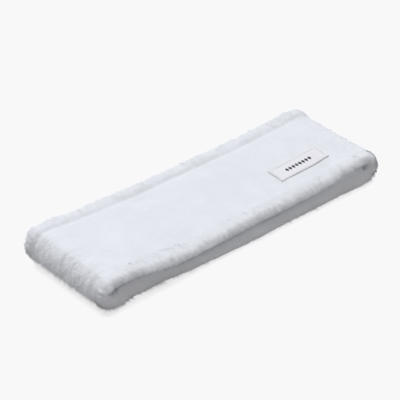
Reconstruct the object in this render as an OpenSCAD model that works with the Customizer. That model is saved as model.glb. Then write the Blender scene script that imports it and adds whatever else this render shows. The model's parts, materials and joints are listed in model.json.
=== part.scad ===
// Closed-loop plush headband, lying flat: the back panel is underneath, the
// front panel lies on top of it, and the band turns round a fold at each end.
// X runs along the flattened band, Y across its width, Z up. The origin is the
// middle of the footprint, on the surface that the band rests on.

/* [Band] */
// Length of the flattened band, fold to fold
band_len = 240; // [220:1:270]
// Width of the band, edge to edge
band_w = 78; // [66:1:96]
// Thickness of one panel of fabric at its hemmed edges
panel_t = 9; // [8:0.5:10]
// Height of the flattened band at its two end folds
fold_h = 28; // [26:0.5:32]
// Gap between the two panels in the middle, where the top one sags
sag_gap = 3; // [1:0.1:4]
// Half the length of the level middle of each panel, up to its bend lines
bend_x = 36; // [30:1:44]

/* [Hems] */
// Width of the rolled hem along each edge
hem_w = 10; // [8:0.5:12]
// Depth of the groove that the hem's topstitching pulls in
groove_d = 1.4; // [1:0.1:1.8]
// Diameter of the sewing thread
thread_d = 0.7; // [0.5:0.1:0.8]

/* [Lining] */
// Thickness of the lining fabric
lining_t = 2.6; // [2:0.1:3]
// Distance that the lining lies below the crests of the hems
lining_sink = 1; // [0.9:0.1:1.2]

/* [Label] */
// Length of the woven label
label_len = 44; // [38:1:52]
// Width of the woven label
label_w = 14.5; // [12:0.5:18]
// Thickness of the woven label
label_t = 0.6; // [0.4:0.1:0.8]
// Distance of the label's centre from the middle of the band, along X
label_x = 69; // [67:1:71]
// Distance of the label's centre from the middle of the band, along Y
label_y = -14; // [-15:1:15]

/* [Back seam] */
// Width of each turned-in fabric end beside the closing seam
allowance_w = 7; // [5:1:9]
// Thickness of each turned-in fabric end
allowance_t = 0.8; // [0.6:0.1:1]
// Length of the blank care tag
tag_len = 20; // [14:1:20]
// Width of the blank care tag
tag_w = 14; // [10:1:20]

/* [Hidden] */

plush_color = "whitesmoke";
lining_color = "gainsboro";
thread_color = "silver";
label_color = "lightgray";

split_gap = 0.1;                           // clearance between neighbouring zones
pivot_gap = 0.2;                           // clearance at the open joint in the front
touch_gap = 0.05;                          // clearance between sewn layers
half_t = panel_t / 2;
thread_r = thread_d / 2;
groove_r = 2.5;
hem_y = band_w / 2 - hem_w;                // line of the hem's topstitching
edge_y = band_w / 2 - half_t;              // centre of the rounded edge

fold_r = fold_h / 2 - half_t;              // mid-thickness radius of an end fold
fold_x = band_len / 2 - fold_h / 2;        // centre of an end fold
back_z = half_t;                           // mid-thickness height of the back panel
low_z = back_z + panel_t + sag_gap;        // same, for the sagged middle of the front
high_z = fold_h - half_t;                  // same, for the front beside a fold

// The front climbs from low_z to high_z along two equal arcs, one turned over.
rise_x0 = bend_x + split_gap / 2;
rise_x1 = fold_x - split_gap;
rise_mid_x = (rise_x0 + rise_x1) / 2;
rise_run = (rise_x1 - rise_x0) / 2;
rise_drop = (high_z - low_z) / 2;
rise_r = (rise_run * rise_run + rise_drop * rise_drop) / (2 * rise_drop);
rise_a = asin(rise_run / rise_r);
arc_split = 0.01;                          // degrees left open between the arcs
arc_lap = 0.2;                             // degrees of overlap where they are one sheet

lining_low = lining_sink - half_t;         // inner face of the lining, from mid-thickness
lining_high = lining_low + lining_t;
lining_w = 2 * (hem_y - 0.3);
inner_thread_y = hem_y - 1.2;
seam_cut_w = 1.2;                          // groove pulled in by the closing seam
seam_cut_d = 2.4;
stitch_len = 2.2;                          // one stitch round the label
stitch_pitch = 3.2;
stitch_inset = 1.2;
stitch_w = 0.6;
stitch_h = 0.3;
far = 400;                                 // longer than the band, for cutting tools
$fn = 48;
arc_fn = 360;                              // facets in a full turn of the long arcs
fold_fn = 96;

// ---- flat sections: u across the band, v through it, with the outer face up ----

module outline() {
    square([2 * edge_y, panel_t], center = true);
    for (side = [-1, 1]) translate([side * edge_y, 0]) circle(r = half_t);
}

module plush_section() {
    difference() {
        outline();
        for (side = [-1, 1])
            translate([side * hem_y, half_t + groove_r - groove_d]) circle(r = groove_r);
        translate([-hem_y, -panel_t]) square([2 * hem_y, panel_t + lining_high + touch_gap]);
    }
}

module lining_section() {
    translate([-lining_w / 2, lining_low]) square([lining_w, lining_t]);
}

module thread_section() {
    for (side = [-1, 1]) {
        translate([side * hem_y, half_t - groove_d + thread_r + touch_gap])
            circle(r = thread_r);
        translate([side * inner_thread_y, lining_low - thread_r - touch_gap])
            circle(r = thread_r);
    }
}

module label_section() {
    translate([label_y - label_w / 2, half_t + touch_gap]) square([label_w, label_t]);
}

module stitch_section() {
    translate([label_y - label_w / 2, half_t + label_t + 2 * touch_gap])
        square([label_w, stitch_h]);
}

// ---- sweeps that carry a flat section along one zone of the band ----

module level_zone(x0, x1, z) {
    translate([x0, 0, z]) rotate([90, 0, 90]) linear_extrude(x1 - x0) children();
}

module back_zone(x0, x1) {
    level_zone(x0, x1, back_z) mirror([0, 1]) children();
}

module rise_zone(lap = -arc_split) {
    translate([rise_x0, 0, low_z + rise_r]) rotate([90, 0, 0])
        rotate_extrude(angle = rise_a + lap, start = -90, $fn = arc_fn)
            translate([rise_r, 0]) rotate(90) mirror([1, 0]) children();
    translate([rise_x1, 0, high_z - rise_r]) rotate([90, 0, 0])
        rotate_extrude(angle = rise_a + lap, start = 90, $fn = arc_fn)
            translate([rise_r, 0]) rotate(-90) children();
}

module fold_zone() {
    translate([fold_x, 0, fold_h / 2]) rotate([90, 0, 0])
        rotate_extrude(angle = 180, start = -90, $fn = fold_fn)
            translate([fold_r, 0]) rotate(-90) children();
}

module left() {
    mirror([1, 0, 0]) children();
}

module back_center_zone() {
    back_zone(split_gap / 2 - bend_x, bend_x - split_gap / 2) children();
}

module back_side_zone() {
    back_zone(bend_x + split_gap / 2, fold_x - split_gap) children();
}

module front_center_zone() {
    level_zone(pivot_gap / 2, bend_x - split_gap / 2, low_z) children();
}

// ---- the outer plush, which wraps round both hems ----

module plush_back_center() {
    color(plush_color) difference() {
        back_center_zone() plush_section();
        translate([-seam_cut_w / 2, -far / 2, -1]) cube([seam_cut_w, far, 1 + seam_cut_d]);
    }
}
module plush_back_right() { color(plush_color) back_side_zone() plush_section(); }
module plush_fold_right() { color(plush_color) fold_zone() plush_section(); }
module plush_front_right() { color(plush_color) rise_zone() plush_section(); }
module plush_front_center_right() { color(plush_color) front_center_zone() plush_section(); }
module plush_front_center_left() { left() plush_front_center_right(); }
module plush_front_left() { left() plush_front_right(); }
module plush_fold_left() { left() plush_fold_right(); }
module plush_back_left() { left() plush_back_right(); }

// ---- the lining panel between the hems, on the side that touches the head ----

module lining_back_center() { color(lining_color) back_center_zone() lining_section(); }
module lining_back_right() { color(lining_color) back_side_zone() lining_section(); }
module lining_fold_right() { color(lining_color) fold_zone() lining_section(); }
module lining_front_right() { color(lining_color) rise_zone() lining_section(); }
module lining_front_center_right() {
    color(lining_color) front_center_zone() lining_section();
}
module lining_front_center_left() { left() lining_front_center_right(); }
module lining_front_left() { left() lining_front_right(); }
module lining_fold_left() { left() lining_fold_right(); }
module lining_back_left() { left() lining_back_right(); }

// ---- topstitching: one row in each hem groove, one along each lining edge ----

module hem_thread_back_center() { color(thread_color) back_center_zone() thread_section(); }
module hem_thread_back_right() { color(thread_color) back_side_zone() thread_section(); }
module hem_thread_fold_right() { color(thread_color) fold_zone() thread_section(); }
module hem_thread_front_right() { color(thread_color) rise_zone() thread_section(); }
module hem_thread_front_center_right() {
    color(thread_color) front_center_zone() thread_section();
}
module hem_thread_front_center_left() { left() hem_thread_front_center_right(); }
module hem_thread_front_left() { left() hem_thread_front_right(); }
module hem_thread_fold_left() { left() hem_thread_fold_right(); }
module hem_thread_back_left() { left() hem_thread_back_right(); }

// ---- closing seam at the middle of the back, with what is sewn into it ----

module closing_seam_thread() {
    color(thread_color)
        translate([0, -edge_y, seam_cut_d - thread_r - touch_gap]) rotate([-90, 0, 0])
            cylinder(r = thread_r, h = 2 * edge_y);
}

module seam_allowance() {
    top = panel_t - lining_sink + touch_gap;
    color(plush_color) for (side = [-1, 1])
        translate([side * (allowance_w + split_gap) / 2, 0, top + allowance_t / 2])
            cube([allowance_w, 2 * inner_thread_y - 2, allowance_t], center = true);
}

module care_tag() {
    base = panel_t - lining_sink + touch_gap;
    color(label_color)
        translate([allowance_w + split_gap, -tag_w / 2, base]) cube([tag_len, tag_w, 0.4]);
}

// ---- woven label on the front panel, beside the right-hand fold ----

module label_cut() {
    intersection() {
        children();
        translate([label_x - label_len / 2, -far / 2, 0]) cube([label_len, far, far]);
    }
}

module woven_label() {
    color(label_color) label_cut() rise_zone(arc_lap) label_section();
}

module stitch_row(count, along, across) {
    for (i = [0 : count - 1], side = [-1, 1])
        rotate(across ? 90 : 0)
            translate([(i - (count - 1) / 2) * stitch_pitch, side * along, fold_h / 2])
                cube([stitch_len, stitch_w, fold_h], center = true);
}

module label_stitches() {
    long_count = floor((label_len - 2 * stitch_inset) / stitch_pitch);
    short_count = floor((label_w - 4 * stitch_inset) / stitch_pitch);
    color(thread_color) intersection() {
        rise_zone(arc_lap) stitch_section();
        translate([label_x, label_y, 0]) {
            stitch_row(long_count, label_w / 2 - stitch_inset, false);
            stitch_row(short_count, label_len / 2 - stitch_inset, true);
        }
    }
}

plush_back_center();
plush_back_right();
plush_fold_right();
plush_front_right();
plush_front_center_right();
plush_front_center_left();
plush_front_left();
plush_fold_left();
plush_back_left();
lining_back_center();
lining_back_right();
lining_fold_right();
lining_front_right();
lining_front_center_right();
lining_front_center_left();
lining_front_left();
lining_fold_left();
lining_back_left();
hem_thread_back_center();
hem_thread_back_right();
hem_thread_fold_right();
hem_thread_front_right();
hem_thread_front_center_right();
hem_thread_front_center_left();
hem_thread_front_left();
hem_thread_fold_left();
hem_thread_back_left();
closing_seam_thread();
seam_allowance();
care_tag();
woven_label();
label_stitches();
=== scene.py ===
import json
import math
from collections import namedtuple

import bmesh
import bpy
import numpy as np
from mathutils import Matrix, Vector


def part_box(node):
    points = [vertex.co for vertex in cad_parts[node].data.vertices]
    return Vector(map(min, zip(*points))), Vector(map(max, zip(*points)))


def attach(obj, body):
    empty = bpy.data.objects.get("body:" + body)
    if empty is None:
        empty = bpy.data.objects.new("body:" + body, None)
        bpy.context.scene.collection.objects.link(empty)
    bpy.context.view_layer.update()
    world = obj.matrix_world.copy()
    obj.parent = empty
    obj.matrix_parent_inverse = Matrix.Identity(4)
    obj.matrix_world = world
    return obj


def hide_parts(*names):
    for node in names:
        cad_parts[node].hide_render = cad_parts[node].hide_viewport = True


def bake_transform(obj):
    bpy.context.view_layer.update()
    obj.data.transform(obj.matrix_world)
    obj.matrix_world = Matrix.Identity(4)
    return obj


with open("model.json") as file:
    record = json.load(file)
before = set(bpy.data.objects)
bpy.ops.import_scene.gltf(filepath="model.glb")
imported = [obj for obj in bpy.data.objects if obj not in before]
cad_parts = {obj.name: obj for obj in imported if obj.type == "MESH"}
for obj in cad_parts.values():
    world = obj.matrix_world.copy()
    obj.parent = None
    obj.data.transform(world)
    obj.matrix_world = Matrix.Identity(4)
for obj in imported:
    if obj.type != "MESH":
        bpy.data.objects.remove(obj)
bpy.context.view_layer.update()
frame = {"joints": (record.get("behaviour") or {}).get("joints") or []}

# A plush spa headband that lies flat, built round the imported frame. Lengths are in
# metres, and MM turns millimetres into them. The fabric is a grid that is wrapped both
# ways: s runs along the loop of the band, p round its cross-section.
MM = 0.001
TAU = 2 * math.pi
TINY = 1e-9

# ---- sizes that come from the frame ----
PANEL_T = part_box("plush_back_center")[1].z  # the fabric's thickness
HALF_T = PANEL_T / 2
HALF_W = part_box("plush_back_center")[1].y  # half the band's width
FOLD_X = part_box("plush_fold_right")[0].x
FOLD_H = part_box("plush_fold_right")[1].z
FRONT_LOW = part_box("plush_front_center_right")[0].z + HALF_T
FRONT_HIGH = FOLD_H - HALF_T
BEND_X = next(j["pos_m"][0] for j in frame["joints"] if j["name"] == "back_right_bend")
HEM_Y = HALF_W - 10 * MM  # the seam beside each hem
LINING_SINK = PANEL_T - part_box("lining_back_center")[1].z

# ---- the cross-section: flat from edge to edge, and round at each edge ----
EDGE_Y = HALF_W - HALF_T
FLAT = 2 * EDGE_Y
ROUND = math.pi * HALF_T
GIRTH = 2 * (FLAT + ROUND)

# ---- how finely the band is built ----
COARSE_S, COARSE_P = 160, 56  # cloth grid: round the loop, round the section
UP = 6  # finer by this much after the cloth has settled


def smooth(low, high, x):
    """0 below low, 1 above high, and a soft step between them."""
    t = np.clip((x - low) / (high - low), 0, 1)
    return t * t * (3 - 2 * t)


def mix(ends, t):
    """ends[0] where t is 0, ends[1] where t is 1."""
    return ends[0] + (ends[1] - ends[0]) * t


def unit(v):
    """The vectors v at length 1."""
    return v / np.maximum(np.linalg.norm(v, axis=-1, keepdims=True), 1e-12)


def to_far_edge(y):
    """0 at the band's near edge, 1 at its far edge."""
    return 0.5 + 0.5 * np.clip(y / EDGE_Y, -1, 1)


# ======== The loop: a line through the middle of the fabric, round the band ========
# Mid-thickness height of the front panel, as (x, z) in mm: its near edge sags until it
# lies on the back panel, its far edge stays up.
NEAR_LINE = ((-106, 20.0), (-94, 19.2), (-85, 18.0), (-67, 15.7), (-49, 14.0),
             (-31, 13.8), (5, 14.4), (41, 14.6), (59, 15.2), (77, 16.0), (86, 17.2),
             (95, 18.4), (106, 19.0))
FAR_LINE = ((-106, 22.4), (-80, 20.4), (-40, 19.6), (0, 19.6), (50, 20.0), (80, 21.4),
            (106, 23.2))
# Height of the line where the near hems of the two panels press together, (x, z) in mm.
MEETING_LINE = ((-106, 14.8), (-94, 14.2), (-85, 13.7), (-76, 12.9), (-67, 11.2),
                (-55, 9.5), (-31, 9.3), (5, 10.0), (59, 10.8), (77, 11.6), (86, 13.3),
                (95, 15.2), (106, 15.8))
# The corners of these lines are rounded by a weighted mean over 11 mm each way.
CORNER_SHIFTS = np.linspace(-1, 1, 21) * 11 * MM
CORNER_WEIGHTS = (1 - (CORNER_SHIFTS / (12 * MM)) ** 2) ** 2
# The front panel rises to the folds between these distances from the middle.
RIGHT_RISE = (BEND_X - 2 * MM, FOLD_X)
LEFT_RISE = (BEND_X - 6 * MM, FOLD_X - 6 * MM)
RUN_POINTS, TURN_POINTS = 400, 200  # points along half a panel, and round a fold
NORMAL_STEP = 1.5 * MM  # the loop's direction is taken over this, each way


def front_height(x):
    """Mid-thickness height of the front panel along the loop, before it slopes."""
    rise = np.maximum(smooth(*RIGHT_RISE, x), smooth(*LEFT_RISE, -x))
    return mix((FRONT_LOW, FRONT_HIGH), rise)


def soft_line(points, x):
    """Heights at x of straight pieces between the points, with rounded corners."""
    xs, zs = np.array(points).T * MM
    total = sum(weight * np.interp(x + shift, xs, zs)
                for weight, shift in zip(CORNER_WEIGHTS, CORNER_SHIFTS))
    return total / CORNER_WEIGHTS.sum()


def front_tilt(x, y):
    """Height that the front panel gains or loses at (x, y): it slopes to the front."""
    near, far = soft_line(NEAR_LINE, x), soft_line(FAR_LINE, x)
    return mix((near, far), to_far_edge(y)) - front_height(x)


def loop_points():
    """Dense (x, z) points, from the middle of the back towards +X and round."""
    run = np.linspace(0, FOLD_X, RUN_POINTS)
    turn = np.linspace(-math.pi / 2, math.pi / 2, TURN_POINTS)[1:-1]
    radius = FOLD_H / 2 - HALF_T
    cross = np.linspace(FOLD_X, -FOLD_X, 2 * RUN_POINTS)
    xs = [run, FOLD_X + radius * np.cos(turn), cross,
          -FOLD_X - radius * np.cos(turn), run[:-1] - FOLD_X]
    zs = [run * 0 + HALF_T, FOLD_H / 2 + radius * np.sin(turn), front_height(cross),
          FOLD_H / 2 - radius * np.sin(turn), run[:-1] * 0 + HALF_T]
    return np.concatenate(xs), np.concatenate(zs)


LOOP_X, LOOP_Z = loop_points()
gaps = np.hypot(np.diff(LOOP_X, append=LOOP_X[0]), np.diff(LOOP_Z, append=LOOP_Z[0]))
LOOP_S = np.concatenate([[0], np.cumsum(gaps)])
LOOP_LEN = LOOP_S[-1]


def on_loop(s):
    """(x, z) and the outward normal's (x, z) at distances s along the loop."""
    xs, zs = np.append(LOOP_X, LOOP_X[0]), np.append(LOOP_Z, LOOP_Z[0])

    def at(d):
        d = np.mod(d, LOOP_LEN)
        return np.interp(d, LOOP_S, xs), np.interp(d, LOOP_S, zs)

    x, z = at(s)
    x1, z1 = at(s + NORMAL_STEP)
    x0, z0 = at(s - NORMAL_STEP)
    length = np.hypot(x1 - x0, z1 - z0)
    return x, z, (z1 - z0) / length, -(x1 - x0) / length


def loop_s(x, front):
    """Distance along the loop of the back or front panel's point at x."""
    panel = (LOOP_Z > FRONT_LOW - MM) if front else (LOOP_Z < HALF_T + MM)
    panel &= np.abs(LOOP_X) <= FOLD_X + TINY
    order = np.argsort(LOOP_X[panel])
    along = LOOP_S[:-1][panel][order]
    if not front:
        along = np.where(LOOP_X[panel][order] < -TINY, along - LOOP_LEN, along)
    found = float(np.interp(x, LOOP_X[panel][order], along))
    return found + LOOP_LEN if found < 0 else found


# ======== The cross-section: once round the fabric, from edge to edge and back ========
PANEL_SINK = (0.25 * MM, 1.1 * MM)  # how far the panel lies below the hems: near, far
HEM_RISE = (HEM_Y - 0.96 * MM, HEM_Y + 2.24 * MM)  # a hem rises from the panel here
SEAM_PULL = (0.0 * MM, 0.6 * MM)  # how far the topstitching pulls in: near, far
SEAM_WIDTH = 1.3 * MM
SINK_END_Y = EDGE_Y + 0.1 * MM  # past this the edge is round and nothing sinks
HOLLOW_GAP = 0.5 * MM  # left between the hems of the two panels
FOLD_FILL = 2.6 * MM  # how far the hems puff into the hollow at the folds
INNER_HEM = (HEM_Y - MM, HEM_Y + 2.5 * MM)  # this puffing starts and is full here


def section(p):
    """(y, v) at distances p round the section: y across the band, v outward."""
    p = np.mod(p, GIRTH)
    y, v = np.zeros_like(p), np.zeros_like(p)
    outer = p < FLAT
    y[outer], v[outer] = p[outer] - EDGE_Y, HALF_T
    far = (p >= FLAT) & (p < FLAT + ROUND)
    a = math.pi / 2 - (p[far] - FLAT) / HALF_T
    y[far], v[far] = EDGE_Y + HALF_T * np.cos(a), HALF_T * np.sin(a)
    inner = (p >= FLAT + ROUND) & (p < 2 * FLAT + ROUND)
    y[inner], v[inner] = EDGE_Y - (p[inner] - FLAT - ROUND), -HALF_T
    near = p >= 2 * FLAT + ROUND
    a = -math.pi / 2 - (p[near] - 2 * FLAT - ROUND) / HALF_T
    y[near], v[near] = -EDGE_Y + HALF_T * np.cos(a), HALF_T * np.sin(a)
    across = np.abs(y)
    step = 1 - smooth(*HEM_RISE, across)
    seam = np.exp(-(((across - HEM_Y) / SEAM_WIDTH) ** 2))
    panel_sink = mix(PANEL_SINK, smooth(-HEM_Y, HEM_Y, y))
    sink = np.where(v > 0, panel_sink, LINING_SINK) * step
    sink = sink + np.where(y < 0, *SEAM_PULL) * seam
    return y, v - np.sign(v) * np.where(across < SINK_END_Y, sink, 0)


def hem_fill(s, y):
    """How far the hems puff into the hollow between the panels, at each (s, y)."""
    x, _, _, nz = on_loop(s)
    x, y = x[:, None], y[None, :]
    front = front_height(x) + front_tilt(x, y) - HALF_T
    middle = (front + PANEL_T) / 2
    meet = np.where(y < 0, soft_line(MEETING_LINE, x), middle)
    back_fill = meet - HOLLOW_GAP / 2 - PANEL_T
    front_fill = front - meet - HOLLOW_GAP / 2
    up = nz[:, None]
    return np.where(up < 0, FOLD_FILL * (1 + up) - back_fill * up,
                    FOLD_FILL * (1 - up) + front_fill * up)


def grid_positions(s, p):
    """Positions of the band's surface for every s and p, as an array (s, p, 3)."""
    y, v = section(p)
    inside = smooth(0, HALF_T, -v) * smooth(*INNER_HEM, np.abs(y))
    v = v[None, :] - hem_fill(s, y) * inside[None, :]
    return place(s, y, v)


FOLD_BULGE = 1.2 * MM  # how far a pressed fold bulges out
TILT_BULGE = 0.3  # and more by this share of what the front sags
# Powers that shape a fold's outline low down and high up, 1 for round and less for
# boxy, and the parts of the fold's height where they hold.
SHOULDER = (0.95, 0.3)
SHOULDER_PART = (0.3, 0.75)
# Towards the left fold the near edge of the back panel lies in by this much.
BACK_TUCK = 2.0 * MM
TUCK_START = (-112 * MM, -94 * MM)
TUCK_END = (-72 * MM, -42 * MM)
# The left fold stands askew: shift of its near and far ends, and where it starts.
LEFT_SKEW = (4.2 * MM, 0.3 * MM)
SKEW_FROM = 50 * MM


def place(s, y, v):
    """Positions at distances s round the loop, y across it and v out of it."""
    x, z, nx, nz = on_loop(s)
    y = np.asarray(y)[None, :]
    tilt = front_tilt(x[:, None], y)
    in_fold = np.abs(x) > FOLD_X
    part = np.clip((z - HALF_T) / (FRONT_HIGH - HALF_T), 0, 1)
    share = np.where(in_fold, part, nz > 0)[:, None]
    reach = np.where(in_fold, 2 * np.sqrt(part * (1 - part)), 0)
    power = np.interp(part, SHOULDER_PART, SHOULDER)
    full = (FOLD_H / 2 - HALF_T) * (reach ** power - reach)
    sag = TILT_BULGE * np.minimum(tilt, 0)
    bulge = full[:, None] + reach[:, None] ** 2 * (FOLD_BULGE - sag)
    tuck = smooth(*TUCK_START, x) * (1 - smooth(*TUCK_END, x))
    tuck = BACK_TUCK * (tuck[:, None] * (1 - share)) * np.clip(-y / EDGE_Y, 0, 1) ** 2
    skew = smooth(SKEW_FROM, FOLD_X, -x)[:, None] * mix(LEFT_SKEW, to_far_edge(y))
    out = np.empty((len(s), y.shape[1], 3))
    out[..., 0] = x[:, None] + nx[:, None] * v + np.sign(x)[:, None] * bulge + skew
    out[..., 1] = y + tuck
    out[..., 2] = z[:, None] + nz[:, None] * v + tilt * share
    return out


def grid_mesh(name, points):
    """A closed mesh (a torus) from a grid that wraps in both directions."""
    rows, cols = points.shape[:2]
    i, j = np.meshgrid(np.arange(rows), np.arange(cols), indexing="ij")
    a = i * cols + j
    b = ((i + 1) % rows) * cols + j
    c = ((i + 1) % rows) * cols + (j + 1) % cols
    d = i * cols + (j + 1) % cols
    faces = np.stack([a, d, c, b], -1).reshape(-1, 4)
    mesh = bpy.data.meshes.new(name)
    mesh.from_pydata(points.reshape(-1, 3).tolist(), [], faces.tolist())
    return mesh


# ======== Cloth: air pressure puffs the fabric out between its seams ========
CLOTH_FRAMES = 18
CLOTH_SETTINGS = {
    "quality": 5, "mass": 0.15, "vertex_group_mass": "held", "use_pressure": True,
    "uniform_pressure_force": 2.5, "shrink_min": -0.008, "tension_stiffness": 8,
    "compression_stiffness": 8, "shear_stiffness": 4, "bending_stiffness": 3}
CLOTH_CAP = 0.9 * MM  # no point moves further than this
INNER_HEM_FREE = 0.1  # share of its move that a hem's inner face makes


def settle(points, seam, free):
    """The grid after a short cloth simulation that the seam's columns are held in."""
    mesh = grid_mesh("cloth", points)
    obj = bpy.data.objects.new("cloth", mesh)
    bpy.context.scene.collection.objects.link(obj)
    held = obj.vertex_groups.new(name="held")
    rows, cols = points.shape[:2]
    index = (np.arange(rows)[:, None] * cols + np.nonzero(seam)[0][None, :]).ravel()
    held.add(index.tolist(), 1.0, "REPLACE")
    cloth = obj.modifiers.new("cloth", "CLOTH")
    for key, value in CLOTH_SETTINGS.items():
        setattr(cloth.settings, key, value)
    cloth.settings.effector_weights.gravity = 0
    cloth.collision_settings.use_collision = False
    cloth.point_cache.frame_start = 1
    cloth.point_cache.frame_end = CLOTH_FRAMES
    scene = bpy.context.scene
    for f in range(1, CLOTH_FRAMES + 1):
        scene.frame_set(f)
    evaluated = obj.evaluated_get(bpy.context.evaluated_depsgraph_get())
    settled = np.empty(len(mesh.vertices) * 3)
    evaluated.data.vertices.foreach_get("co", settled)
    scene.frame_set(1)
    bpy.data.objects.remove(obj)
    moved = settled.reshape(points.shape) - points
    far = np.linalg.norm(moved, axis=-1, keepdims=True)
    moved *= free[None, :, None] * np.minimum(1, CLOTH_CAP / np.maximum(far, TINY))
    for axis in (0, 1, 0, 1, 0):  # even the moves out along the loop and round it
        beside = np.roll(moved, 1, axis) + np.roll(moved, -1, axis)
        moved = 0.5 * moved + 0.25 * beside
    return points + moved


def finer(grid, times):
    """The wrapping grid with `times` as many rows and columns, as smooth curves."""
    for axis in (0, 1):
        prev, here, after, last = (np.roll(grid, k, axis) for k in (1, 0, -1, -2))
        parts = []
        for u in np.arange(times) / times:
            parts.append(0.5 * (2 * here + (after - prev) * u
                                + (2 * prev - 5 * here + 4 * after - last) * u ** 2
                                + (3 * here - prev - 3 * after + last) * u ** 3))
        stacked = np.stack(parts, axis + 1)
        shape = list(grid.shape)
        shape[axis] *= times
        grid = stacked.reshape(shape)
    return grid


def lattice_noise(shape, cells, seed):
    """Smooth noise from -1 to 1 on a wrapping grid, with that many cells each way."""
    rng = np.random.default_rng(seed)
    lattice = rng.uniform(-1, 1, cells)
    s = np.arange(shape[0]) / shape[0] * cells[0]
    p = np.arange(shape[1]) / shape[1] * cells[1]
    i, j = np.floor(s).astype(int), np.floor(p).astype(int)
    u, w = s - i, p - j
    u, w = (u * u * (3 - 2 * u))[:, None], (w * w * (3 - 2 * w))[None, :]
    i1, j1 = (i + 1) % cells[0], (j + 1) % cells[1]
    a, b = lattice[np.ix_(i, j)], lattice[np.ix_(i1, j)]
    c, d = lattice[np.ix_(i, j1)], lattice[np.ix_(i1, j1)]
    return (a * (1 - u) + b * u) * (1 - w) + (c * (1 - u) + d * u) * w


def grid_normals(grid):
    """Outward normals of a wrapping grid."""
    along = np.roll(grid, -1, 0) - np.roll(grid, 1, 0)
    across = np.roll(grid, -1, 1) - np.roll(grid, 1, 1)
    return unit(np.cross(across, along))


coarse_s = np.arange(COARSE_S) / COARSE_S * LOOP_LEN
coarse_p = np.arange(COARSE_P) / COARSE_P * GIRTH
band = grid_positions(coarse_s, coarse_p)
section_y, section_v = section(coarse_p)
on_seam = np.zeros(COARSE_P, bool)
# The seams hold the fabric, apart from the outer one at the near edge.
for side, face in ((-1, -1), (1, -1), (1, 1)):
    off = np.abs(section_y - side * HEM_Y) + (section_v * face < 0)
    on_seam[int(np.argmin(off))] = True
inner_hem = (section_v < 0) & (np.abs(section_y) > HEM_Y)
band = settle(band, on_seam, np.where(inner_hem, INNER_HEM_FREE, 1.0))

fine_s = np.arange(COARSE_S * UP) / (COARSE_S * UP) * LOOP_LEN
fine_p = np.arange(COARSE_P * UP) / (COARSE_P * UP) * GIRTH
band_smooth = finer(band, UP)
SHAPE = band_smooth.shape[:2]
fine_x = np.abs(on_loop(fine_s)[0])
fine_y, fine_v = section(fine_p)

# The pile makes the surface lumpy: (size along s, size across, height, seed).
LUMPS = ((2.4 * MM, 1.6 * MM, 0.06 * MM, 11), (4.8 * MM, 3.2 * MM, 0.10 * MM, 12),
         (12 * MM, 8 * MM, 0.22 * MM, 13), (36 * MM, 24 * MM, 0.45 * MM, 14))
LUMP_SHARE = (0.4, 1.3)  # of these lumps, on the panels and on hems and folds
LINING_SHARE = 0.4  # the lining has this share of the panels' lumps
HEM_STREAKS = (2.2 * MM, 7 * MM, 0.28 * MM, 15)  # tufts that hang over the edge
FOLD_STREAKS = (12 * MM, 1.6 * MM, 0.20 * MM, 16)  # tufts that run round a fold
HEM_START = (HEM_Y - 2 * MM, HEM_Y + 2 * MM)  # the hem's surface begins here
FOLD_START = (FOLD_X - 6 * MM, FOLD_X + 6 * MM)  # and the fold's here
FOLD_GROOVE = 0.7 * MM  # the near seam sinks in where it goes round a fold
GROOVE_WIDTH = 1.2 * MM
GROOVE_START = (FOLD_X + 2 * MM, FOLD_X + 8 * MM)
LOWEST_Z = 0.05 * MM  # the band's surface stays this far above the floor
LINING_EDGE_Y = HEM_Y - 0.4 * MM
lining_p = (fine_v < 0) & (np.abs(fine_y) < LINING_EDGE_Y)


def lump_layer(along, across, height, seed):
    """One size of lumps, as heights over the fine grid."""
    cells = (int(LOOP_LEN / along), int(GIRTH / across))
    return height * lattice_noise(SHAPE, cells, seed)


rim = smooth(*HEM_START, np.abs(fine_y))[None, :]
fold = smooth(*FOLD_START, fine_x)[:, None]
lump = sum(lump_layer(*layer) for layer in LUMPS)
lump = lump * mix(LUMP_SHARE, np.maximum(rim, fold))
lump += lump_layer(*HEM_STREAKS) * rim + lump_layer(*FOLD_STREAKS) * fold * (1 - rim)
groove = np.exp(-(((fine_y + HEM_Y) / GROOVE_WIDTH) ** 2))[None, :]
lump -= FOLD_GROOVE * groove * smooth(*GROOVE_START, fine_x)[:, None]
lump = np.where(lining_p[None, :], LINING_SHARE * lump, lump)
normals = grid_normals(band_smooth)
band_fine = band_smooth + normals * lump[..., None]
band_fine[..., 2] = np.maximum(band_fine[..., 2], LOWEST_Z)
band_normals = grid_normals(band_fine)

# ======== Pieces: the band is cut between its bends, so each piece holds one bend ====
CUT_X = (BEND_X + FOLD_X) / 2
BACK_POINTS = 15  # columns of a piece's hidden back face
S_CUTS = {
    "back_mid": 0.0, "back_right": loop_s(CUT_X, False),
    "front_right": loop_s(CUT_X, True), "front_mid": loop_s(0, True),
    "front_left": loop_s(-CUT_X, True), "back_left": loop_s(-CUT_X, False),
    "end": LOOP_LEN}
S_BENDS = {
    "back_right_bend": loop_s(BEND_X, False), "front_right_bend": loop_s(BEND_X, True),
    "front_left_bend": loop_s(-BEND_X, True), "back_left_bend": loop_s(-BEND_X, False)}
S_FOLDS = {
    "right_fold": (loop_s(FOLD_X, False), loop_s(FOLD_X, True)),
    "left_fold": (loop_s(-FOLD_X, True), loop_s(-FOLD_X, False))}
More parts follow.
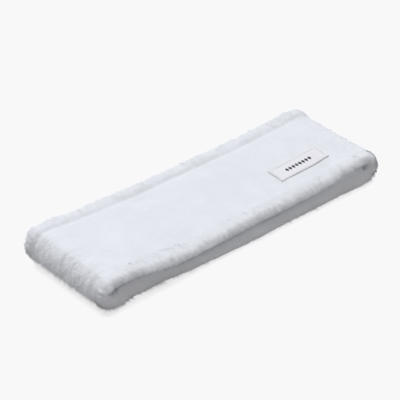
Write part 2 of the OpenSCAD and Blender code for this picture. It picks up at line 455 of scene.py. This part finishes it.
# The cuts before and after a piece, the bodies before and after its bend, and the CAD
# zones that it replaces.
Span = namedtuple("Span", "cut_before cut_after body_before body_after zones")
SPANS = {
    "back_right_bend": Span(
        "back_mid", "back_right", "back_center", "back_right",
        ("back_center", "back_right")),
    "right_fold": Span(
        "back_right", "front_right", "back_right", "front_right", ("fold_right",)),
    "front_right_bend": Span(
        "front_right", "front_mid", "front_right", "front_center_right",
        ("front_right", "front_center_right")),
    "front_left_bend": Span(
        "front_mid", "front_left", "front_center_left", "front_left",
        ("front_center_left", "front_left")),
    "left_fold": Span(
        "front_left", "back_left", "front_left", "back_left", ("fold_left",)),
    "back_left_bend": Span(
        "back_left", "end", "back_left", "back_center", ("back_left", "back_center"))}


def span_ends(span):
    """Distances along the loop of the piece's first and last cut."""
    return S_CUTS[SPANS[span].cut_before], S_CUTS[SPANS[span].cut_after]


def bend_piece(obj):
    """obj's transform is baked into its points."""
    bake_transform(obj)


def make_object(name, verts, faces, material, smooth_faces=True):
    """A new mesh object of one material, in the scene."""
    mesh = bpy.data.meshes.new(name)
    mesh.from_pydata(np.asarray(verts).tolist(), [], faces)
    mesh.materials.append(material)
    if smooth_faces:
        mesh.shade_smooth()
    obj = bpy.data.objects.new(name, mesh)
    bpy.context.scene.collection.objects.link(obj)
    return obj


def tube_piece(kind, span, front_cols, back_points, material):
    """A closed piece: grid columns in front, a plain back behind, capped ends."""
    step = LOOP_LEN / SHAPE[0]
    first, last = (round(cut / step) for cut in span_ends(span))
    rows = np.arange(first, last + 1)
    s, rows = rows * step, rows % SHAPE[0]
    back_y, back_v = back_points
    back = place(s, back_y, back_v[None, :])
    points = np.concatenate([band_fine[np.ix_(rows, front_cols)], back], 1)
    n, m = points.shape[:2]
    i, j = np.meshgrid(np.arange(n - 1), np.arange(m), indexing="ij")
    a, b = i * m + j, (i + 1) * m + j
    c, d = (i + 1) * m + (j + 1) % m, i * m + (j + 1) % m
    faces = np.stack([a, d, c, b], -1).reshape(-1, 4).tolist()
    faces.append(list(range(m))[::-1])
    faces.append(list(range((n - 1) * m, n * m)))
    obj = make_object(kind + "_" + span, points.reshape(-1, 3), faces, material)
    mesh = obj.data
    smooth_face = np.ones(len(mesh.polygons), bool)
    smooth_face[-2:] = False
    mesh.polygons.foreach_set("use_smooth", smooth_face)
    own = np.empty(len(mesh.vertices) * 3, np.float32)
    mesh.vertex_normals.foreach_get("vector", own)
    own = own.reshape(n, m, 3)
    own[:, :len(front_cols)] = band_normals[np.ix_(rows, front_cols)]
    mesh.normals_split_custom_set_from_vertices(own.reshape(-1, 3).tolist())
    bend_piece(obj)
    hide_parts(*[kind + "_" + zone for zone in SPANS[span].zones])


# ======== Materials ========
SPECULAR = 0.15  # of all cloth and thread
SHEEN_ROUGHNESS = 0.6
FLEECE_ROUGHNESS, FLEECE_SHEEN = 0.95, 0.35
MOTTLE_NOISE = {"Scale": 70.0, "Detail": 3.0, "Roughness": 0.6}
GRAIN_NOISE = {"Detail": 2.0, "Roughness": 0.7}
MOTTLE_RANGE = (0.35, 0.65)  # noise values that give the dark and the light colour
MOTTLE_LIGHT = 0.5  # the light colour is off by this share of what the dark one is
PILE_RELIEF = 0.3 * MM
WOVEN_ROUGHNESS = 0.6
WEAVE_DISTORTION, WEAVE_DETAIL = 0.4, 2.0
WEAVE_BUMP, WEAVE_RELIEF = 0.4, 0.08 * MM


def new_material(name, color, roughness, sheen=0.0):
    """A material of one colour, with its node tree and its shader."""
    material = bpy.data.materials.new(name)
    material.use_nodes = True
    tree = material.node_tree
    shader = tree.nodes["Principled BSDF"]
    shader.inputs["Base Color"].default_value = (*color, 1)
    shader.inputs["Roughness"].default_value = roughness
    shader.inputs["Specular IOR Level"].default_value = SPECULAR
    shader.inputs["Sheen Weight"].default_value = sheen
    shader.inputs["Sheen Roughness"].default_value = SHEEN_ROUGHNESS
    return material, tree, shader


def add(tree, kind, **values):
    """A new node, with its sockets or else its settings set to the values."""
    node = tree.nodes.new(kind)
    for key, value in values.items():
        if key in node.inputs:
            node.inputs[key].default_value = value
        else:
            setattr(node, key, value)
    return node


def color_and_relief(tree, shader, factor, dark, light, height, strength, distance):
    """The shader's colour goes from dark to light by factor, its bump by height."""
    blend = add(tree, "ShaderNodeMix", data_type="RGBA")
    blend.inputs["A"].default_value = (*dark, 1)
    blend.inputs["B"].default_value = (*light, 1)
    tree.links.new(factor, blend.inputs["Factor"])
    tree.links.new(blend.outputs["Result"], shader.inputs["Base Color"])
    relief = add(tree, "ShaderNodeBump", Strength=strength, Distance=distance)
    tree.links.new(height, relief.inputs["Height"])
    tree.links.new(relief.outputs["Normal"], shader.inputs["Normal"])


def fleece_material(name, color, mottle, grain, bump):
    """Brushed pile: soft mottling, fine grain, and a bump that breaks the light up."""
    material, tree, shader = new_material(name, color, FLEECE_ROUGHNESS, FLEECE_SHEEN)
    link = tree.links.new
    where = add(tree, "ShaderNodeTexCoord")
    big = add(tree, "ShaderNodeTexNoise", **MOTTLE_NOISE)
    fine = add(tree, "ShaderNodeTexNoise", Scale=grain, **GRAIN_NOISE)
    both = add(tree, "ShaderNodeMath", operation="ADD")
    half = add(tree, "ShaderNodeMath", operation="MULTIPLY")
    half.inputs[1].default_value = 0.5
    for number, noise in enumerate((big, fine)):
        link(where.outputs["Object"], noise.inputs["Vector"])
        link(noise.outputs["Fac"], both.inputs[number])
    link(both.outputs[0], half.inputs[0])
    spread = add(tree, "ShaderNodeMapRange")
    spread.inputs["From Min"].default_value = MOTTLE_RANGE[0]
    spread.inputs["From Max"].default_value = MOTTLE_RANGE[1]
    link(half.outputs[0], spread.inputs["Value"])
    dark = [c * (1 - mottle) for c in color]
    light = [min(1.0, c * (1 + mottle * MOTTLE_LIGHT)) for c in color]
    color_and_relief(tree, shader, spread.outputs[0], dark, light, fine.outputs["Fac"],
                     bump, PILE_RELIEF)
    return material


def woven_material(name, color, threads, contrast, sheen):
    """A fine plain weave: two crossed waves set colour and height."""
    material, tree, shader = new_material(name, color, WOVEN_ROUGHNESS, sheen)
    where = add(tree, "ShaderNodeTexCoord")
    cross = add(tree, "ShaderNodeMath", operation="MULTIPLY")
    for number, direction in enumerate("XY"):
        wave = add(tree, "ShaderNodeTexWave", Scale=threads, bands_direction=direction)
        wave.inputs["Distortion"].default_value = WEAVE_DISTORTION
        wave.inputs["Detail Scale"].default_value = WEAVE_DETAIL
        tree.links.new(where.outputs["Object"], wave.inputs["Vector"])
        tree.links.new(wave.outputs["Fac"], cross.inputs[number])
    dark = [c * (1 - contrast) for c in color]
    color_and_relief(tree, shader, cross.outputs[0], dark, color, cross.outputs[0],
                     WEAVE_BUMP, WEAVE_RELIEF)
    return material


FLEECE = (0.862, 0.876, 0.905)
# Painted light: the long pile on the hems and folds is the same fleece painted a tenth
# lighter, standing in for light that its blades fail to catch.
LONG_PILE_PAINTED_LIGHT = tuple(1.1 * c for c in FLEECE)
# name, colour, mottling, grain of the noise, bump
plush = fleece_material("plush", FLEECE, 0.05, 900.0, 0.2)
pile_material = fleece_material("plush_pile", FLEECE, 0.05, 500.0, 0.0)
long_pile_painted_light_material = fleece_material("plush_long_pile_painted_light", LONG_PILE_PAINTED_LIGHT, 0.04, 500.0, 0.0)
lining = fleece_material("lining", (0.82, 0.84, 0.875), 0.04, 1400.0, 0.6)
# name, colour, threads, contrast, sheen
label_material = woven_material("label_weave", (0.90, 0.89, 0.915), 500.0, 0.05, 0.1)
edge_material = woven_material("label_edge", (0.55, 0.55, 0.57), 500.0, 0.10, 0.1)
motif_material = woven_material("motif_thread", (0.035, 0.035, 0.04), 600.0, 0.3, 0.2)
thread_material = woven_material("sewing_thread", (0.82, 0.83, 0.86), 900.0, 0.15, 0.2)
tag_material = woven_material("care_tag_satin", (0.86, 0.86, 0.87), 700.0, 0.08, 0.3)

# ======== The plush and the lining ========
first = int(np.nonzero(~lining_p & np.roll(lining_p, 1))[0][0])
order = np.roll(np.arange(SHAPE[1]), -first)
PLUSH_COLS = order[~lining_p[order]]
LINING_COLS = order[lining_p[order]]
# The hidden faces of the lining and the plush lie this far out of the loop's line.
LINING_BACK = -0.9 * MM
PLUSH_BACK = LINING_BACK + 0.05 * MM
back_share = np.linspace(1, -1, BACK_POINTS)
plush_back = (fine_y[PLUSH_COLS[-1]] * back_share, np.full(BACK_POINTS, PLUSH_BACK))
lining_back = (fine_y[LINING_COLS[-1]] * back_share, np.full(BACK_POINTS, LINING_BACK))

for span in SPANS:
    tube_piece("plush", span, PLUSH_COLS, plush_back, plush)
    tube_piece("lining", span, LINING_COLS, lining_back, lining)

# ======== The pile: fine closed blades that lie over in tufts ========
# Noise of tufts along the loop, across it, and on the panels: they turn the shading.
STREAKS = {"fold": lump_layer(11 * MM, 1.5 * MM, 1.0, 31),
           "hem": lump_layer(1.6 * MM, 8 * MM, 1.0, 32),
           "panel": lump_layer(3 * MM, 2.2 * MM, 1.0, 33)}
STREAK_SHADE = 0.75  # how much the tufts of hems and folds turn it
PANEL_SHADE = 0.08
BLADE_SHADE = 0.16  # how much each blade does, by chance
PILE_PER_MM2, LONG_PER_MM2 = ((2.3, 2.6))
PILE_SEED, LONG_SEED, SEED_STEP = 100, 110, 20
PANEL_PILE, SHAGGY_PILE = 1.1, 2.5  # length in mm on the panels, and more when shaggy
SIZE_LEAST, SIZE_RANGE = 0.45, 1.15
LONG_FROM = 0.2  # the long pile starts where it is this shaggy
BLADE_R = 0.11 * MM
BLADE_WIDE, BLADE_THICK = 1.3, 0.6  # a blade's half width and its depth, in BLADE_R
RISE = (0.10, 0.66)  # how steeply the pile stands, at least and at most
NAP = 0.8  # how far it leans, as a share of its length
LEAN = (0.8, 1.2)  # and the share of that which one blade does
ASIDE = 0.3  # the nap of the panels lies a little to one side
LEAST_FLOW = 0.2  # below this the nap has no clear direction
WILD = 0.15  # how far a tip strays
BRUSH_TURN = 12 * MM  # the nap turns round at the middle over this
ALONG_STEP = 0.6 * MM  # the fabric's direction is taken over this, each way
ROOT_DEPTH = 0.25 * MM
ROOT_Z, TIP_Z = 0.02 * MM, 0.1 * MM  # the lowest that roots and tips may be
UNDERSIDE_Z = 1.0 * MM  # lower down than this the underside has no pile
# Low down, pile whose normal's z is under LOW_LOOK is shaded as if it were LOW_TURN, as
# the floor's light reaches it. This fades in from the first to the second height.
LOW_Z, LOW_LOOK, LOW_TURN = (8 * MM, 3 * MM), 0.3, 0.35
TIP_GLOW = 0.35  # tips turn up, as thin pile lets the light through
HEM_PILE = (HEM_Y, HEM_Y + 3 * MM)
SHAGGY_HEM = (HEM_Y - 2 * MM, HEM_Y + 3 * MM)
SHAGGY_FOLD = (FOLD_X - 8 * MM, FOLD_X + 6 * MM)


def sample(grid, s, p):
    """Values of a wrapping fine grid between its points."""
    a, b = s / LOOP_LEN * SHAPE[0], np.mod(p / GIRTH, 1) * SHAPE[1]
    i, j = np.floor(a).astype(int), np.floor(b).astype(int)
    u, w = (a - i)[:, None], (b - j)[:, None]
    i0, i1 = i % SHAPE[0], (i + 1) % SHAPE[0]
    j0, j1 = j % SHAPE[1], (j + 1) % SHAPE[1]
    return ((grid[i0, j0] * (1 - u) + grid[i1, j0] * u) * (1 - w)
            + (grid[i0, j1] * (1 - u) + grid[i1, j1] * u) * w)


def sample_row(values, s, p):
    """The same for values that only change round the section."""
    return sample(np.broadcast_to(values[None, :, None], (*SHAPE, 1)), s, p)[:, 0]


def shaggy(s, y):
    """1 on the hems and the end folds, 0 on the smooth panels."""
    on_fold = smooth(*SHAGGY_FOLD, np.abs(on_loop(s)[0]))
    return np.maximum(smooth(*SHAGGY_HEM, np.abs(y)), on_fold)


def pile_length(s, y, v):
    """Longer pile on the hems and folds, short where two hems lie face to face."""
    inside = smooth(0.5 * HALF_T, -0.5 * HALF_T, v)
    return (PANEL_PILE + SHAGGY_PILE * shaggy(s, y) * (1 - inside)) * MM


def pile_piece(name, span, density, seed, material, only_shaggy):
    """The pile of one span of the plush, as one object of many closed blades."""
    s0, s1 = span_ends(span)
    rng = np.random.default_rng(seed)
    count = int((s1 - s0) * GIRTH / MM ** 2 * density)
    s, p = rng.uniform(s0, s1, count), rng.uniform(0, GIRTH, count)
    keep = ~lining_p[np.floor(p / GIRTH * SHAPE[1]).astype(int) % SHAPE[1]]
    if only_shaggy:
        keep &= shaggy(s, section(p)[0]) > rng.uniform(LONG_FROM, 1, count)
    s, p = s[keep], p[keep]
    root, normal = sample(band_fine, s, p), unit(sample(band_normals, s, p))
    keep = (root[:, 2] > UNDERSIDE_Z) | (normal[:, 2] > 0)
    s, p, root, normal = s[keep], p[keep], root[keep], normal[keep]
    count = len(s)
    along = unit(sample(band_fine, s + ALONG_STEP, p)
                 - sample(band_fine, s - ALONG_STEP, p))
    across = unit(np.cross(normal, along))
    y, v = sample_row(fine_y, s, p), sample_row(fine_v, s, p)
    on_hem = smooth(*HEM_PILE, np.abs(y))
    size = SIZE_LEAST + SIZE_RANGE * rng.uniform(0, 1, count) ** 2
    size = size * pile_length(s, y, v)
    rise = rng.uniform(*RISE, count)
    lean = NAP * rng.uniform(*LEAN, count)
    wild = rng.normal(0, WILD, (count, 3))
    # The front's nap lies towards the folds, and that of the hems over the edge.
    onward = -np.tanh(root[:, 0] / BRUSH_TURN) * (1 - on_hem)
    outward = np.sign(y) * np.where(across[:, 1] > 0, 1, -1)
    sideways = outward * on_hem - ASIDE * (1 - on_hem)
    flat = lean * size / np.maximum(np.hypot(onward, sideways), LEAST_FLOW)
    tip = (root + normal * (size * rise)[:, None] + along * (onward * flat)[:, None]
           + across * (sideways * flat)[:, None] + wild * size[:, None])
    tip[:, 2] = np.maximum(tip[:, 2], TIP_Z)
    root = root - normal * ROOT_DEPTH
    root[:, 2] = np.maximum(root[:, 2], ROOT_Z)
    side = unit(np.cross(unit(tip - root), normal)) * BLADE_R * BLADE_WIDE
    under = root - unit(normal) * BLADE_R * BLADE_THICK
    verts = np.stack([root - side, root + side, under, tip], 1)
    tris = np.array([[0, 1, 3], [1, 2, 3], [2, 0, 3], [2, 1, 0]])
    faces = (np.arange(count)[:, None, None] * 4 + tris[None]).reshape(-1, 3)
    obj = make_object(name, verts.reshape(-1, 3), faces.tolist(), material)
    # The shading follows the surface and its tufts, not the faces of single blades.
    streak = {kind: sample(noise[..., None], s, p) for kind, noise in STREAKS.items()}
    bare = 1 - shaggy(s, y)[:, None]
    own = (normal + along * streak["hem"] * STREAK_SHADE * on_hem[:, None]
           + across * streak["fold"] * STREAK_SHADE * (1 - bare) * (1 - on_hem[:, None])
           + (along + across) * streak["panel"] * PANEL_SHADE * bare
           + rng.normal(0, BLADE_SHADE, (count, 3)))
    low = (normal[:, 2] < LOW_LOOK) * smooth(*LOW_Z, root[:, 2])
    own[:, 2] += low * (np.maximum(own[:, 2], LOW_TURN) - own[:, 2])
    own = np.repeat(unit(own)[:, None], 4, 1)
    own[:, 3, 2] += TIP_GLOW
    own = unit(own).reshape(-1, 3)
    obj.data.normals_split_custom_set_from_vertices(own.tolist())
    obj.visible_shadow = False
    obj.visible_diffuse = False
    bend_piece(obj)


for number, span in enumerate(SPANS):
    more = SEED_STEP * number
    pile_piece("pile_" + span, span, PILE_PER_MM2, PILE_SEED + more,
               pile_material, only_shaggy=False)
    pile_piece("long_pile_" + span, span, LONG_PER_MM2, LONG_SEED + more,
               long_pile_painted_light_material, only_shaggy=True)

# ======== Sewn and woven details, all laid on the smooth surface of the band ========
SEWN_Z = 0.35 * MM  # details on the underside start from this height
CAPSULE_SIDES = 6
# (distance from start to end, share of the radius) of each ring of a stitch
CAPSULE_RINGS = ((0.0, 0.45), (0.12, 0.85), (0.5, 1.0), (0.88, 0.85), (1.0, 0.45))
STITCH_FLAT = 0.8  # a stitch's height, as a share of its width


def on_band(s, p, lift):
    """Points lifted off the band's smooth surface, and the normals there."""
    n = unit(sample(normals, s, p))
    surface = sample(band_smooth, s, p)
    surface[:, 2] = np.maximum(surface[:, 2], SEWN_Z)
    return surface + n * np.asarray(lift)[..., None], n


def outer_p(y):
    """Distance round the section of the outer side's point at y."""
    return y + EDGE_Y


def inner_p(y):
    """The same for the inner side."""
    return FLAT + ROUND + EDGE_Y - y


def sheet(name, s_line, p_line, top, bottom, material):
    """A closed thin sheet on the band: `top` and `bottom` are lifts over the grid."""
    s_grid, p_grid = np.meshgrid(s_line, p_line, indexing="ij")
    n, m = s_grid.shape
    s, p = s_grid.ravel(), p_grid.ravel()
    upper, _ = on_band(s, p, np.broadcast_to(top, (n, m)).ravel())
    lower, _ = on_band(s, p, np.broadcast_to(bottom, (n, m)).ravel())
    verts = np.concatenate([upper, lower])
    faces = []
    for i in range(n - 1):
        for j in range(m - 1):
            a = i * m + j
            faces.append((a, a + 1, a + m + 1, a + m))
            k = a + n * m
            faces.append((k, k + m, k + m + 1, k + 1))
    rim_line = ([i * m for i in range(n)] + [(n - 1) * m + j for j in range(1, m)]
                + [i * m + m - 1 for i in range(n - 2, -1, -1)]
                + [j for j in range(m - 2, 0, -1)])
    for k, a in enumerate(rim_line):
        b = rim_line[(k + 1) % len(rim_line)]
        faces.append((b, a, a + n * m, b + n * m))
    obj = make_object(name, verts, faces, material)
    turned = bmesh.new()
    turned.from_mesh(obj.data)
    bmesh.ops.recalc_face_normals(turned, faces=turned.faces)
    turned.to_mesh(obj.data)
    turned.free()
    return obj, np.tile(s, 2)


def capsules(name, starts, ends, ups, radius):
    """Closed rounded stitches from starts to ends, flattened along ups."""
    way = unit(ends - starts)
    side = unit(np.cross(way, ups))
    up = np.cross(side, way) * STITCH_FLAT
    k = CAPSULE_SIDES
    turns = [TAU * q / k for q in range(k)]
    verts = np.stack([starts + (ends - starts) * t
                      + radius * r * (side * math.cos(a) + up * math.sin(a))
                      for t, r in CAPSULE_RINGS for a in turns], 1)
    per = verts.shape[1]
    one = []
    for a in range(per - k):
        b = a + 1 if (a + 1) % k else a + 1 - k
        one.append((a, a + k, b + k, b))
    one += [tuple(range(k)), tuple(range(per - k, per))[::-1]]
    faces = [tuple(number * per + v for v in face)
             for number in range(len(starts)) for face in one]
    obj = make_object(name, verts.reshape(-1, 3), faces, thread_material)
    return obj, per


# ---- woven label on the front ----
label_low, label_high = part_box("woven_label")
LABEL_X = (label_low.x + label_high.x) / 2
LABEL_Y = (label_low.y + label_high.y) / 2
LABEL_LEN = label_high.x - label_low.x
LABEL_W = label_high.y - label_low.y
LABEL_STEPS = (73, 29)
LABEL_LIFT = 0.75 * MM
LABEL_SUNK = -0.5 * MM
LABEL_BEVEL, LABEL_DROP = 0.35 * MM, 0.35 * MM
LABEL_FOLD = (1.0 * MM, 1.4 * MM)  # the thicker turned-in edge ends between these
LABEL_FOLD_H = 0.12 * MM
MOTIF_COUNT = 8
MOTIF_PITCH = 3.0 * MM
MOTIF_WIDE, MOTIF_TALL = 1.25 * MM, 1.9 * MM  # half sizes of a lozenge
MOTIF_LIFTS = (LABEL_LIFT - 0.1 * MM, LABEL_LIFT + 0.12 * MM)
STITCH_INSET = 1.2 * MM
LABEL_STITCH = (2.0 * MM, 3.2 * MM)  # length, pitch
LABEL_STITCH_LIFT = LABEL_LIFT + 0.14 * MM
LABEL_THREAD_R = 0.2 * MM


def make_label():
    """The label: a sheet with a beveled rim and a thicker turned-in edge."""
    u, w = (np.linspace(-1, 1, steps) for steps in LABEL_STEPS)
    s_line = np.array([loop_s(LABEL_X - LABEL_LEN / 2 * t, True) for t in u])
    p_line = outer_p(LABEL_Y + LABEL_W / 2 * w)
    from_edge = np.minimum((1 - np.abs(u))[:, None] * LABEL_LEN / 2,
                           (1 - np.abs(w))[None, :] * LABEL_W / 2)
    bevel = smooth(0, LABEL_BEVEL, from_edge)
    fold_bump = LABEL_FOLD_H * (1 - smooth(*LABEL_FOLD, from_edge))
    top = LABEL_LIFT - LABEL_DROP * (1 - bevel) + fold_bump
    label, s = sheet("woven_label", s_line, p_line, top, LABEL_SUNK, label_material)
    label.data.materials.append(edge_material)
    rim_faces = np.arange(len(label.data.polygons)) >= 2 * (len(u) - 1) * (len(w) - 1)
    label.data.polygons.foreach_set("material_index", rim_faces.astype(np.int32))
    bend_piece(label)
    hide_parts("woven_label")


def make_motif():
    """A plain row of woven lozenges, each a closed low block."""
    outline = ((0, MOTIF_TALL), (MOTIF_WIDE, 0), (0, -MOTIF_TALL), (-MOTIF_WIDE, 0))
    verts, faces, s_all = [], [], []
    for k in range(MOTIF_COUNT):
        middle = LABEL_X + (k - (MOTIF_COUNT - 1) / 2) * MOTIF_PITCH
        for lift in MOTIF_LIFTS:
            for dx, dy in outline:
                s = loop_s(middle + dx, True)
                p = outer_p(LABEL_Y + dy)
                point, _ = on_band(np.array([s]), np.array([p]), [lift])
                verts.append(point[0])
                s_all.append(s)
        b = k * 8
        faces += [(b, b + 1, b + 2, b + 3), (b + 7, b + 6, b + 5, b + 4)]
        for i, j in ((0, 1), (1, 2), (2, 3), (3, 0)):
            faces.append((b + i, b + 4 + i, b + 4 + j, b + j))
    motif = make_object("label_motif", verts, faces, motif_material, smooth_faces=False)
    bend_piece(motif)


def centered(count, pitch):
    """Places of `count` things in a row about 0."""
    return [(i - (count - 1) / 2) * pitch for i in range(count)]


def make_label_stitches():
    """Stitches in a row along each side of the label."""
    length, pitch = LABEL_STITCH
    lines = []  # (x, y, length in x, length in y) of each stitch
    for side in (-1, 1):
        y = LABEL_Y + side * (LABEL_W / 2 - STITCH_INSET)
        count = int((LABEL_LEN - 2 * STITCH_INSET) / pitch)
        lines += [(LABEL_X + i, y, length, 0) for i in centered(count, pitch)]
        x = LABEL_X + side * (LABEL_LEN / 2 - STITCH_INSET)
        count = int((LABEL_W - 4 * STITCH_INSET) / pitch)
        lines += [(x, LABEL_Y + i, 0, length) for i in centered(count, pitch)]
    x, y, dx, dy = np.array(lines).T

    def ends(sign):
        s = np.array([loop_s(value, True) for value in x + dx * sign])
        return on_band(s, outer_p(y + dy * sign), np.full(len(s), LABEL_STITCH_LIFT))

    (starts, _), (stops, ups) = ends(-0.5), ends(0.5)
    obj, per = capsules("label_stitches", starts, stops, ups, LABEL_THREAD_R)
    middles = [loop_s(value, True) for value in x]
    bend_piece(obj)
    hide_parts("label_stitches")


# ---- topstitching: a row in each outer seam line, one along each lining edge ----
HEM_STITCH = (2.3 * MM, 3.1 * MM)  # length, pitch
HEM_THREAD_R = 0.35 * MM
NEAR_STITCH_LIFT, STITCH_LIFT = -0.55 * MM, -0.4 * MM
INNER_SEAM_Y = HEM_Y - 1.2 * MM


def make_hem_stitches(span):
    """The topstitching of one span, four rows in one object."""
    start, end = span_ends(span)
    length, pitch = HEM_STITCH
    count = int((end - start) / pitch)
    middle = start + (np.arange(count) + 0.5) * pitch
    rows = [outer_p(-HEM_Y), outer_p(HEM_Y),
            inner_p(-INNER_SEAM_Y), inner_p(INNER_SEAM_Y)]
    s = np.tile(middle, len(rows))
    p = np.repeat(rows, count)
    lift = np.where(p == rows[0], NEAR_STITCH_LIFT, STITCH_LIFT)
    starts, n = on_band(s - length / 2, p, lift)
    ends, _ = on_band(s + length / 2, p, lift)
    obj, per = capsules("hem_stitches_" + span, starts, ends, n, HEM_THREAD_R)
    bend_piece(obj)
    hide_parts(*["hem_thread_" + zone for zone in SPANS[span].zones])


# ---- inside the back: the turned-in ends, their stitches and the blank care tag ----
ALLOWANCE_STEPS = (25, 61)
ALLOWANCE_LIFTS = (0.25 * MM, 1.0 * MM)  # at the seam and beside it
ALLOWANCE_SUNK = -0.2 * MM
ALLOWANCE_IN, ALLOWANCE_OUT = (0.02, 0.2), (1.0, 0.75)  # shares where it rises and ends
RIPPLE, RIPPLE_TURNS = 0.12 * MM, 23
TAG_STEPS = (31, 21)
TAG_TUCK = 3 * MM  # how far the tag goes into the seam
TAG_LIFTS = (0.75 * MM, 0.95 * MM)  # its lower and upper side
TAG_CURL, TAG_CURL_LEN = 0.5 * MM, 8 * MM
CLOSING_STITCH = (2.2 * MM, 3.1 * MM)  # length, pitch
CLOSING_LIFT = 0.1 * MM
CLOSING_THREAD_R = 0.3 * MM


def ride_on_back(obj, node):
    """obj rides on the middle of the back, in place of the CAD node."""
    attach(obj, "back_center")
    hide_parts(node)


def make_seam_allowance():
    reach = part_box("seam_allowance")[1]
    u, w = (np.linspace(-1, 1, steps) for steps in ALLOWANCE_STEPS)
    across = np.abs(u)[:, None]
    ripple = RIPPLE * np.sin(w * RIPPLE_TURNS)[None, :] * across
    rise = smooth(*ALLOWANCE_IN, across) * smooth(*ALLOWANCE_OUT, across)
    seam, _ = sheet("seam_allowance", LOOP_LEN + u * reach.x, inner_p(w * reach.y),
                    mix(ALLOWANCE_LIFTS, rise) + ripple, ALLOWANCE_SUNK, lining)
    ride_on_back(seam, "seam_allowance")


def make_care_tag():
    low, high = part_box("care_tag")
    u = np.linspace(low.x - TAG_TUCK, high.x, TAG_STEPS[0])
    w = np.linspace(low.y, high.y, TAG_STEPS[1])
    curl = TAG_CURL * smooth(high.x - TAG_CURL_LEN, high.x, u)[:, None]
    tag, _ = sheet("care_tag", u, inner_p(w), TAG_LIFTS[1] + curl, TAG_LIFTS[0] + curl,
                   tag_material)
    ride_on_back(tag, "care_tag")


def make_closing_stitches():
    length, pitch = CLOSING_STITCH
    y = np.array(centered(int(2 * EDGE_Y / pitch), pitch))
    s, lift = np.zeros(len(y)), np.full(len(y), CLOSING_LIFT)
    starts, n = on_band(s, outer_p(y - length / 2), lift)
    ends, _ = on_band(s, outer_p(y + length / 2), lift)
    obj, _ = capsules("closing_seam_stitches", starts, ends, n, CLOSING_THREAD_R)
    ride_on_back(obj, "closing_seam_thread")


make_label()
make_motif()
make_label_stitches()
for span in SPANS:
    make_hem_stitches(span)
make_seam_allowance()
make_care_tag()
make_closing_stitches()

# ======== Stage: pale floor, soft overhead light, the camera and the display ========
FLOOR_SIZE = 6.0  # half its width, in m
FLOOR_ALBEDO = 0.80
FLOOR_GLOW = 0.53  # the floor is lit from below, as a light table is
LIGHT_FROM = Vector((0.17, 0.36, 0.93)).normalized()
KEY_STRENGTH = 2.05
KEY_ANGLE = math.radians(61)
KEY_COLOR = (0.975, 1.0, 1.05)
ROOM_LIGHT = 0.37  # light from above, all round
ROOM_COLOR = (1, 0.99, 1.0)
FLOOR_BOUNCE = 0.32  # and from below
BACKDROP = 1.0  # what the camera sees past the floor
CAM_AZ = math.radians(-40.55)
CAM_EL = math.radians(33.87)
CAM_DIST = 0.85
CAM_TARGET = Vector((0, 0, 12 * MM))
CAM_LENS, CAM_SENSOR = 114.7, 36
CAM_SHIFT = (-0.0220, 0.0116)
CAM_CLIP = 0.01
COMBINED_CURVE = 3  # the display curve for all three colours
WHITE_LIMIT = 0.939


def make_floor():
    """A wide pale floor that glows a little and casts nothing on the band."""
    material, _, shader = new_material("floor", (FLOOR_ALBEDO,) * 3, 1.0)
    shader.inputs["Specular IOR Level"].default_value = 0.0
    shader.inputs["Emission Color"].default_value = (1, 1, 1, 1)
    shader.inputs["Emission Strength"].default_value = FLOOR_GLOW
    r = FLOOR_SIZE
    corners = [(-r, -r, 0), (r, -r, 0), (r, r, 0), (-r, r, 0)]
    floor = make_object("floor", corners, [(0, 1, 2, 3)], material, smooth_faces=False)
    floor.visible_diffuse = False
    floor.visible_shadow = False


def make_key_light():
    """One large soft light overhead and a little behind."""
    data = bpy.data.lights.new("key", "SUN")
    data.energy = KEY_STRENGTH
    data.angle = KEY_ANGLE
    data.color = KEY_COLOR
    data.cycles.use_multiple_importance_sampling = False
    key = bpy.data.objects.new("key", data)
    key.rotation_euler = LIGHT_FROM.to_track_quat("Z", "Y").to_euler()
    bpy.context.scene.collection.objects.link(key)


def make_room():
    """An evenly lit pale room: soft light from above and below, and a backdrop."""
    world = bpy.data.worlds.new("studio")
    bpy.context.scene.world = world
    world.use_nodes = True
    tree = world.node_tree
    link = tree.links.new
    where = add(tree, "ShaderNodeTexCoord")
    split = add(tree, "ShaderNodeSeparateXYZ")
    link(where.outputs["Generated"], split.inputs[0])
    above = add(tree, "ShaderNodeMath", operation="GREATER_THAN")
    above.inputs[1].default_value = 0.0
    link(split.outputs["Z"], above.inputs[0])
    room = add(tree, "ShaderNodeMix", data_type="FLOAT")
    room.inputs["A"].default_value = FLOOR_BOUNCE
    room.inputs["B"].default_value = ROOM_LIGHT
    link(above.outputs[0], room.inputs["Factor"])
    seen = add(tree, "ShaderNodeLightPath")
    wall = add(tree, "ShaderNodeMix", data_type="FLOAT")
    wall.inputs["B"].default_value = BACKDROP
    link(seen.outputs["Is Camera Ray"], wall.inputs["Factor"])
    link(room.outputs["Result"], wall.inputs["A"])
    link(wall.outputs["Result"], tree.nodes["Background"].inputs["Strength"])
    tree.nodes["Background"].inputs["Color"].default_value = (*ROOM_COLOR, 1)


def make_camera():
    """A long lens that looks down on the band from the near left."""
    data = bpy.data.cameras.new("camera")
    camera = bpy.data.objects.new("camera", data)
    bpy.context.scene.collection.objects.link(camera)
    x, y = math.sin(CAM_AZ), -math.cos(CAM_AZ)
    level = math.cos(CAM_EL)
    back = Vector((x * level, y * level, math.sin(CAM_EL)))
    camera.location = CAM_TARGET + back * CAM_DIST
    camera.rotation_euler = (-back).to_track_quat("-Z", "Y").to_euler()
    data.sensor_width = CAM_SENSOR
    data.lens = CAM_LENS
    data.shift_x, data.shift_y = CAM_SHIFT
    data.clip_start = CAM_CLIP
    bpy.context.scene.camera = camera


def set_display():
    """Plain display colours, with the overexposed floor held just under white."""
    view = bpy.context.scene.view_settings
    view.view_transform = "Standard"
    view.use_curve_mapping = True
    mapping = view.curve_mapping
    mapping.extend = "HORIZONTAL"
    curve = mapping.curves[COMBINED_CURVE]
    curve.points[0].location = (0, 0)
    curve.points[1].location = (1, WHITE_LIMIT)
    curve.points.new(WHITE_LIMIT, WHITE_LIMIT)
    for point in curve.points:
        point.handle_type = "VECTOR"
    mapping.update()


make_floor()
make_key_light()
make_room()
make_camera()
set_display()
